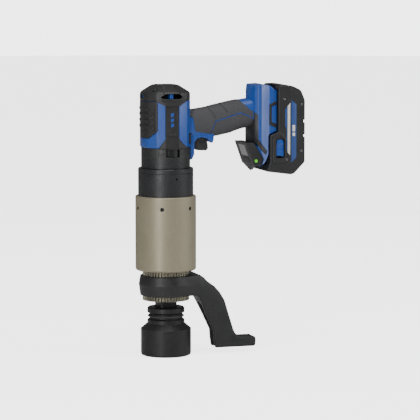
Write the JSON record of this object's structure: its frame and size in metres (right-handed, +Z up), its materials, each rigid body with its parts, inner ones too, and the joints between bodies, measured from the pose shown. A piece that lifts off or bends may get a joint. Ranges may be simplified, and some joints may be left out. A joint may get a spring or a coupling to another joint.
{
  "type": "battery torque wrench",
  "caption": "Pistol-grip battery torque wrench with planetary gearbox, cranked reaction arm, square drive and impact socket.",
  "frame": {"origin": "middle of the socket's open face, on the output axis", "axes": "+Z up the output axis towards the motor, +X along the handle to the battery, +Y to the far side of the tool"},
  "size_m": [0.244, 0.088, 0.393],
  "materials": {
    "blue_plastic": "satin moulded blue",
    "black_plastic": "fine spark texture",
    "soft_grip": "soft matt rubber",
    "champagne_anodised": "bead-blasted champagne anodising",
    "black_anodised": "black anodised, fine turned",
    "black_steel": "black phosphate on forged steel",
    "cast_steel": "black coated casting",
    "bright_steel": "machined steel",
    "gear_steel": "ground gear steel",
    "bearing_bronze": "sintered bronze",
    "seal_rubber": "nitrile rubber",
    "screw_steel": "zinc-plated screw",
    "motor_iron": "laminated iron with windings",
    "board_green": "circuit board",
    "display_glass": "smoked polycarbonate",
    "lamp_green": "green lens",
    "contact_copper": "plated contacts",
    "cell_wrap": "shrink-wrapped cells"
  },
  "bodies": {
    "gearbox": {"gear_housing": "champagne_anodised", "main_ring_gear": "gear_steel", "reaction_hub": "bright_steel", "output_bush": "bearing_bronze", "shaft_seal": "seal_rubber", "housing_lock_screws": "screw_steel", "coupling_collar": "black_anodised", "collar_set_screws": "screw_steel", "swivel_bush": "bearing_bronze", "swivel_ring": "black_anodised", "input_bush": "bearing_bronze"},
    "drive": {"drive_shaft": "gear_steel", "drive_detent_ball": "gear_steel"},
    "first_carrier": {"first_carrier": "gear_steel"},
    "input_shaft": {"input_shaft": "gear_steel"},
    "socket": {"impact_socket": "black_steel", "retaining_ring": "seal_rubber"},
    "arm": {"reaction_arm": "cast_steel"},
    "head": {"nose_sleeve": "black_anodised", "gear_case": "black_plastic", "housing_near": "blue_plastic", "housing_far": "blue_plastic", "badge_panels": "black_plastic", "back_pad": "soft_grip", "rear_cap": "black_plastic", "case_screws": "screw_steel", "grip_near": "soft_grip", "grip_far": "soft_grip", "foot_bumpers": "black_plastic", "motor_stator": "motor_iron", "motor_bearings": "gear_steel", "switch_module": "black_plastic", "trigger_spring": "screw_steel", "control_board": "board_green", "display_case": "black_plastic", "display_window": "display_glass", "status_lamp": "lamp_green", "terminal_block": "contact_copper"},
    "speed_carrier": {"speed_carrier": "gear_steel"},
    "rotor": {"rotor": "gear_steel", "cooling_fan": "black_plastic"},
    "trigger": {"trigger": "black_plastic"},
    "direction_shuttle": {"direction_shuttle": "black_plastic"},
    "gear_selector": {"gear_selector": "black_plastic"},
    "display_key": {"display_key": "black_plastic"},
    "battery": {"battery_base": "black_plastic", "battery_cover": "black_plastic", "battery_cells": "cell_wrap", "battery_screws": "screw_steel"},
    "latch_near": {"latch_near": "blue_plastic"},
    "latch_far": {"latch_far": "blue_plastic"},
    "output_planet_a": {"output_planet_a": "gear_steel"},
    "output_planet_b": {"output_planet_b": "gear_steel"},
    "output_planet_c": {"output_planet_c": "gear_steel"},
    "first_planet_a": {"first_planet_a": "gear_steel"},
    "first_planet_b": {"first_planet_b": "gear_steel"},
    "first_planet_c": {"first_planet_c": "gear_steel"},
    "speed_planet_a": {"speed_planet_a": "gear_steel"},
    "speed_planet_b": {"speed_planet_b": "gear_steel"},
    "speed_planet_c": {"speed_planet_c": "gear_steel"}
  },
  "joints": [
    {"name": "drive_spin", "type": "hinge", "parent": "gearbox", "child": "drive", "pos_m": [0, 0, 0.1], "axis": [0, 0, 1], "continuous": true},
    {"name": "first_carrier_spin", "type": "hinge", "parent": "gearbox", "child": "first_carrier", "pos_m": [0, 0, 0.17], "axis": [0, 0, 1], "continuous": true},
    {"name": "input_shaft_spin", "type": "hinge", "parent": "gearbox", "child": "input_shaft", "pos_m": [0, 0, 0.19], "axis": [0, 0, 1], "continuous": true},
    {"name": "output_planet_a_spin", "type": "hinge", "parent": "drive", "child": "output_planet_a", "pos_m": [0.02231, 0.00294, 0.155], "axis": [0, 0, 1], "continuous": true},
    {"name": "output_planet_b_spin", "type": "hinge", "parent": "drive", "child": "output_planet_b", "pos_m": [-0.0137, 0.01785, 0.155], "axis": [0, 0, 1], "continuous": true},
    {"name": "output_planet_c_spin", "type": "hinge", "parent": "drive", "child": "output_planet_c", "pos_m": [-0.00861, -0.02079, 0.155], "axis": [0, 0, 1], "continuous": true},
    {"name": "first_planet_a_spin", "type": "hinge", "parent": "first_carrier", "child": "first_planet_a", "pos_m": [0.02231, 0.00294, 0.18], "axis": [0, 0, 1], "continuous": true},
    {"name": "first_planet_b_spin", "type": "hinge", "parent": "first_carrier", "child": "first_planet_b", "pos_m": [-0.0137, 0.01785, 0.18], "axis": [0, 0, 1], "continuous": true},
    {"name": "first_planet_c_spin", "type": "hinge", "parent": "first_carrier", "child": "first_planet_c", "pos_m": [-0.00861, -0.02079, 0.18], "axis": [0, 0, 1], "continuous": true},
    {"name": "speed_carrier_spin", "type": "hinge", "parent": "head", "child": "speed_carrier", "pos_m": [0, 0, 0.27], "axis": [0, 0, 1], "continuous": true},
    {"name": "rotor_spin", "type": "hinge", "parent": "head", "child": "rotor", "pos_m": [0, 0, 0.33], "axis": [0, 0, 1], "continuous": true},
    {"name": "speed_planet_a_spin", "type": "hinge", "parent": "speed_carrier", "child": "speed_planet_a", "pos_m": [0.01487, 0.00196, 0.297], "axis": [0, 0, 1], "continuous": true},
    {"name": "speed_planet_b_spin", "type": "hinge", "parent": "speed_carrier", "child": "speed_planet_b", "pos_m": [-0.00913, 0.0119, 0.297], "axis": [0, 0, 1], "continuous": true},
    {"name": "speed_planet_c_spin", "type": "hinge", "parent": "speed_carrier", "child": "speed_planet_c", "pos_m": [-0.00574, -0.01386, 0.297], "axis": [0, 0, 1], "continuous": true},
    {"name": "head_swivel", "type": "hinge", "parent": "gearbox", "child": "head", "pos_m": [0, 0, 0.26], "axis": [0, 0, 1], "continuous": true},
    {"name": "socket_pull", "type": "slide", "parent": "drive", "child": "socket", "axis": [0, 0, -1], "range_m": [0, 0.03]},
    {"name": "arm_pull", "type": "slide", "parent": "gearbox", "child": "arm", "axis": [0, 0, -1], "range_m": [0, 0.032]},
    {"name": "trigger_pull", "type": "slide", "parent": "head", "child": "trigger", "axis": [0, 0, 1], "range_m": [0, 0.006], "stiffness_N_per_m": 800, "springref_m": -0.002, "deforming": ["trigger_spring"]},
    {"name": "direction_slide", "type": "slide", "parent": "head", "child": "direction_shuttle", "axis": [0, 1, 0], "range_m": [-0.0025, 0.0025]},
    {"name": "gear_select", "type": "hinge", "parent": "head", "child": "gear_selector", "pos_m": [0, 0, 0.295], "axis": [0, 0, 1], "range_deg": [-12, 0]},
    {"name": "key_press", "type": "slide", "parent": "head", "child": "display_key", "axis": [0.9434, 0, 0.3316], "range_m": [0, 0.0008], "stiffness_N_per_m": 1500},
    {"name": "battery_slide", "type": "slide", "parent": "head", "child": "battery", "axis": [0, 0, -1], "range_m": [0, 0.07]},
    {"name": "latch_near_press", "type": "slide", "parent": "battery", "child": "latch_near", "axis": [0, 1, 0], "range_m": [0, 0.004], "stiffness_N_per_m": 600},
    {"name": "latch_far_press", "type": "slide", "parent": "battery", "child": "latch_far", "axis": [0, -1, 0], "range_m": [0, 0.004], "stiffness_N_per_m": 600}
  ],
  "couplings": [
    {"joint": "drive_spin", "follows": "first_carrier_spin", "ratio": 0.2},
    {"joint": "input_shaft_spin", "follows": "first_carrier_spin", "ratio": 5},
    {"joint": "output_planet_a_spin", "follows": "first_carrier_spin", "ratio": -0.53333},
    {"joint": "output_planet_b_spin", "follows": "first_carrier_spin", "ratio": -0.53333},
    {"joint": "output_planet_c_spin", "follows": "first_carrier_spin", "ratio": -0.53333},
    {"joint": "first_planet_a_spin", "follows": "first_carrier_spin", "ratio": -2.6667},
    {"joint": "first_planet_b_spin", "follows": "first_carrier_spin", "ratio": -2.6667},
    {"joint": "first_planet_c_spin", "follows": "first_carrier_spin", "ratio": -2.6667},
    {"joint": "speed_carrier_spin", "follows": "first_carrier_spin", "ratio": 5},
    {"joint": "rotor_spin", "follows": "first_carrier_spin", "ratio": 25},
    {"joint": "speed_planet_a_spin", "follows": "first_carrier_spin", "ratio": -13.333},
    {"joint": "speed_planet_b_spin", "follows": "first_carrier_spin", "ratio": -13.333},
    {"joint": "speed_planet_c_spin", "follows": "first_carrier_spin", "ratio": -13.333}
  ]
}
